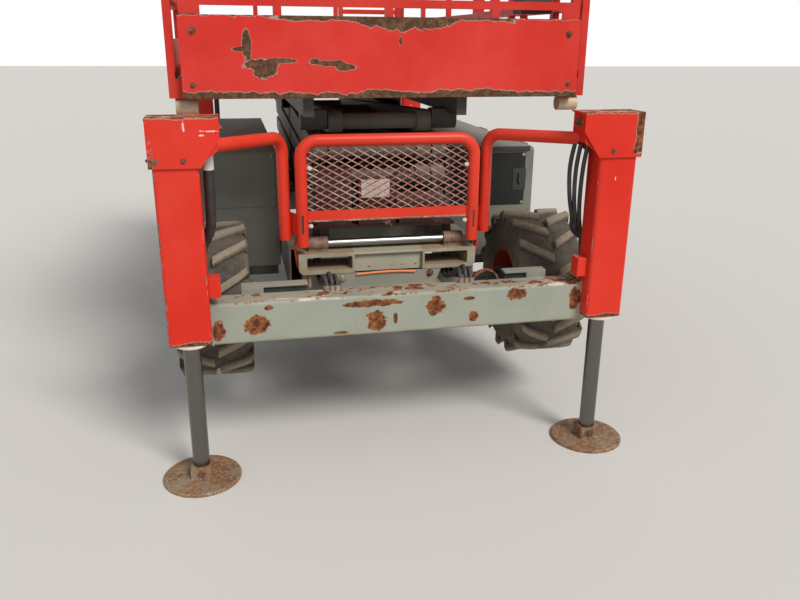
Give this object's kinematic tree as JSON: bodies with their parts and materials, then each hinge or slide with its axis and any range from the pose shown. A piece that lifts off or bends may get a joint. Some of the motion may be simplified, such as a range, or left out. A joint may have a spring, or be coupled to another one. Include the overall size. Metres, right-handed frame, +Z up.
{
  "type": "self-propelled rough-terrain scissor lift",
  "caption": "Rough-terrain scissor lift standing on its outriggers, with a railed platform, a sliding extension deck, a mesh front guard and fork pockets.",
  "frame": {"origin": "on the ground, below the middle of the machine's length and width, at the undersides of the outrigger pads", "axes": "+X to the right seen from the steering end, +Y from the steering end to the entry end, +Z up"},
  "size_m": [2.531, 4.944, 3.08],
  "materials": {
    "red_paint": "worn gloss paint",
    "grey_paint": "weathered satin paint",
    "chrome": "polished hydraulic rod",
    "rusty_steel": "rusted plate",
    "bare_steel": "bare steel with light rust",
    "dark_steel": "dark oiled steel",
    "tyre_rubber": "dusty tyre rubber",
    "rim_paint": "dusty gloss paint",
    "roller_nylon": "aged nylon",
    "black_plastic": "moulded plastic"
  },
  "bodies": {
    "chassis": {"chassis_frame": "grey_paint", "front_beam": "grey_paint", "rear_beam": "grey_paint", "scissor_tracks": "grey_paint", "fork_pocket_frame": "grey_paint", "cross_rod": "bare_steel", "front_guard": "red_paint", "guard_mesh": "bare_steel", "hydraulic_block": "dark_steel", "axle_front": "dark_steel", "axle_rear": "dark_steel", "cabinet_left": "grey_paint", "cabinet_right": "grey_paint", "engine_block": "dark_steel", "tank_block": "dark_steel", "outrigger_leg_front_left": "red_paint", "outrigger_leg_front_right": "red_paint", "outrigger_leg_rear_left": "red_paint", "outrigger_leg_rear_right": "red_paint"},
    "outrigger_front_left": {"outrigger_rod_front_left": "chrome", "outrigger_pad_front_left": "rusty_steel"},
    "outrigger_front_right": {"outrigger_rod_front_right": "chrome", "outrigger_pad_front_right": "rusty_steel"},
    "outrigger_rear_left": {"outrigger_rod_rear_left": "chrome", "outrigger_pad_rear_left": "rusty_steel"},
    "outrigger_rear_right": {"outrigger_rod_rear_right": "chrome", "outrigger_pad_rear_right": "rusty_steel"},
    "knuckle_left": {"steering_knuckle_left": "dark_steel"},
    "knuckle_right": {"steering_knuckle_right": "dark_steel"},
    "steering_rod": {"steering_rod": "chrome"},
    "wheel_front_left": {"tyre_front_left": "tyre_rubber", "rim_front_left": "rim_paint"},
    "wheel_front_right": {"tyre_front_right": "tyre_rubber", "rim_front_right": "rim_paint"},
    "wheel_rear_left": {"tyre_rear_left": "tyre_rubber", "rim_rear_left": "rim_paint"},
    "wheel_rear_right": {"tyre_rear_right": "tyre_rubber", "rim_rear_right": "rim_paint"},
    "outer_frame_1": {"outer_arms_1": "grey_paint"},
    "inner_frame_1": {"inner_arms_1": "grey_paint"},
    "inner_frame_2": {"inner_arms_2": "grey_paint"},
    "outer_frame_2": {"outer_arms_2": "grey_paint"},
    "outer_frame_3": {"outer_arms_3": "grey_paint"},
    "inner_frame_3": {"inner_arms_3": "grey_paint"},
    "inner_frame_4": {"inner_arms_4": "grey_paint"},
    "outer_frame_4": {"outer_arms_4": "grey_paint"},
    "platform": {"platform_frame": "red_paint", "deck_rollers": "roller_nylon", "platform_rails": "red_paint", "platform_ladder": "grey_paint"},
    "lift_barrel": {"lift_cylinder_barrel": "grey_paint"},
    "lift_rod": {"lift_cylinder_rod": "chrome"},
    "extension": {"extension_deck": "red_paint", "extension_rails": "red_paint", "control_box": "black_plastic"},
    "gate": {"entry_gate": "red_paint"},
    "door_left": {"cabinet_door_left": "grey_paint"},
    "door_right": {"cabinet_door_right": "grey_paint"}
  },
  "joints": [
    {"name": "outrigger_slide_front_left", "type": "slide", "parent": "chassis", "child": "outrigger_front_left", "axis": [0, 0, 1], "range_m": [-0.08, 0.56]},
    {"name": "outrigger_slide_front_right", "type": "slide", "parent": "chassis", "child": "outrigger_front_right", "axis": [0, 0, 1], "range_m": [-0.08, 0.56]},
    {"name": "outrigger_slide_rear_left", "type": "slide", "parent": "chassis", "child": "outrigger_rear_left", "axis": [0, 0, 1], "range_m": [-0.08, 0.56]},
    {"name": "outrigger_slide_rear_right", "type": "slide", "parent": "chassis", "child": "outrigger_rear_right", "axis": [0, 0, 1], "range_m": [-0.08, 0.56]},
    {"name": "steer_left", "type": "hinge", "parent": "chassis", "child": "knuckle_left", "pos_m": [-0.867, -1.56998, 0.736], "axis": [0, 0, 1], "range_deg": [-26, 26]},
    {"name": "steer_right", "type": "hinge", "parent": "chassis", "child": "knuckle_right", "pos_m": [0.867, -1.56998, 0.736], "axis": [0, 0, 1], "range_deg": [-26, 26]},
    {"name": "steering_rod_slide", "type": "slide", "parent": "chassis", "child": "steering_rod", "axis": [1, 0, 0], "range_m": [-0.0483, 0.0483]},
    {"name": "wheel_spin_front_left", "type": "hinge", "parent": "knuckle_left", "child": "wheel_front_left", "pos_m": [-0.967, -1.56998, 0.736], "axis": [1, 0, 0], "continuous": true},
    {"name": "wheel_spin_front_right", "type": "hinge", "parent": "knuckle_right", "child": "wheel_front_right", "pos_m": [0.967, -1.56998, 0.736], "axis": [1, 0, 0], "continuous": true},
    {"name": "wheel_spin_rear_left", "type": "hinge", "parent": "chassis", "child": "wheel_rear_left", "pos_m": [-0.967, 1.56998, 0.736], "axis": [1, 0, 0], "continuous": true},
    {"name": "wheel_spin_rear_right", "type": "hinge", "parent": "chassis", "child": "wheel_rear_right", "pos_m": [0.967, 1.56998, 0.736], "axis": [1, 0, 0], "continuous": true},
    {"name": "scissor_lift", "type": "hinge", "parent": "chassis", "child": "outer_frame_1", "pos_m": [0, -1.54798, 1.09], "axis": [1, 0, 0], "range_deg": [0, 57.08]},
    {"name": "cross_1", "type": "hinge", "parent": "outer_frame_1", "child": "inner_frame_1", "pos_m": [0, 0, 1.169], "axis": [1, 0, 0], "range_deg": [-114.17, 0]},
    {"name": "fold_2", "type": "hinge", "parent": "outer_frame_1", "child": "inner_frame_2", "pos_m": [0, 1.54798, 1.248], "axis": [1, 0, 0], "range_deg": [-114.17, 0]},
    {"name": "cross_2", "type": "hinge", "parent": "inner_frame_2", "child": "outer_frame_2", "pos_m": [0, 0, 1.327], "axis": [1, 0, 0], "range_deg": [0, 114.17]},
    {"name": "fold_3", "type": "hinge", "parent": "inner_frame_2", "child": "outer_frame_3", "pos_m": [0, -1.54798, 1.406], "axis": [1, 0, 0], "range_deg": [0, 114.17]},
    {"name": "cross_3", "type": "hinge", "parent": "outer_frame_3", "child": "inner_frame_3", "pos_m": [0, 0, 1.485], "axis": [1, 0, 0], "range_deg": [-114.17, 0]},
    {"name": "fold_4", "type": "hinge", "parent": "outer_frame_3", "child": "inner_frame_4", "pos_m": [0, 1.54798, 1.564], "axis": [1, 0, 0], "range_deg": [-114.17, 0]},
    {"name": "cross_4", "type": "hinge", "parent": "inner_frame_4", "child": "outer_frame_4", "pos_m": [0, 0, 1.643], "axis": [1, 0, 0], "range_deg": [0, 114.17]},
    {"name": "platform_level", "type": "hinge", "parent": "inner_frame_4", "child": "platform", "pos_m": [0, -1.54798, 1.722], "axis": [1, 0, 0], "range_deg": [0, 57.09]},
    {"name": "lift_cylinder_swing", "type": "hinge", "parent": "inner_frame_1", "child": "lift_barrel", "pos_m": [0, -1.39818, 1.24036], "axis": [1, 0, 0], "range_deg": [0, 122.43]},
    {"name": "lift_cylinder_stroke", "type": "slide", "parent": "lift_barrel", "child": "lift_rod", "axis": [0, 0.9968, 0.0805], "range_m": [0, 0.5501]},
    {"name": "extension_slide", "type": "slide", "parent": "platform", "child": "extension", "axis": [0, -1, 0], "range_m": [0, 1.2]},
    {"name": "gate_swing", "type": "hinge", "parent": "platform", "child": "gate", "pos_m": [0.846, 1.79998, 1.96], "axis": [0, 0, 1], "range_deg": [0, 90]},
    {"name": "cabinet_door_left", "type": "hinge", "parent": "chassis", "child": "door_left", "pos_m": [-1.148, 0, 1.487], "axis": [0, 1, 0], "range_deg": [0, 85]},
    {"name": "cabinet_door_right", "type": "hinge", "parent": "chassis", "child": "door_right", "pos_m": [1.148, 0, 1.487], "axis": [0, -1, 0], "range_deg": [0, 85]}
  ],
  "couplings": [
    {"joint": "steer_right", "follows": "steer_left", "ratio": 1},
    {"joint": "steering_rod_slide", "follows": "steer_left", "m_per_rad": -0.10626},
    {"joint": "cross_1", "follows": "scissor_lift", "ratio": -2},
    {"joint": "fold_2", "follows": "scissor_lift", "ratio": -2},
    {"joint": "cross_2", "follows": "scissor_lift", "ratio": 2},
    {"joint": "fold_3", "follows": "scissor_lift", "ratio": 2},
    {"joint": "cross_3", "follows": "scissor_lift", "ratio": -2},
    {"joint": "fold_4", "follows": "scissor_lift", "ratio": -2},
    {"joint": "cross_4", "follows": "scissor_lift", "ratio": 2},
    {"joint": "platform_level", "follows": "scissor_lift", "ratio": 1},
    {"joint": "lift_cylinder_swing", "follows": "scissor_lift", "ratio": 2.1448},
    {"joint": "lift_cylinder_stroke", "follows": "scissor_lift", "m_per_rad": 0.55117}
  ]
}
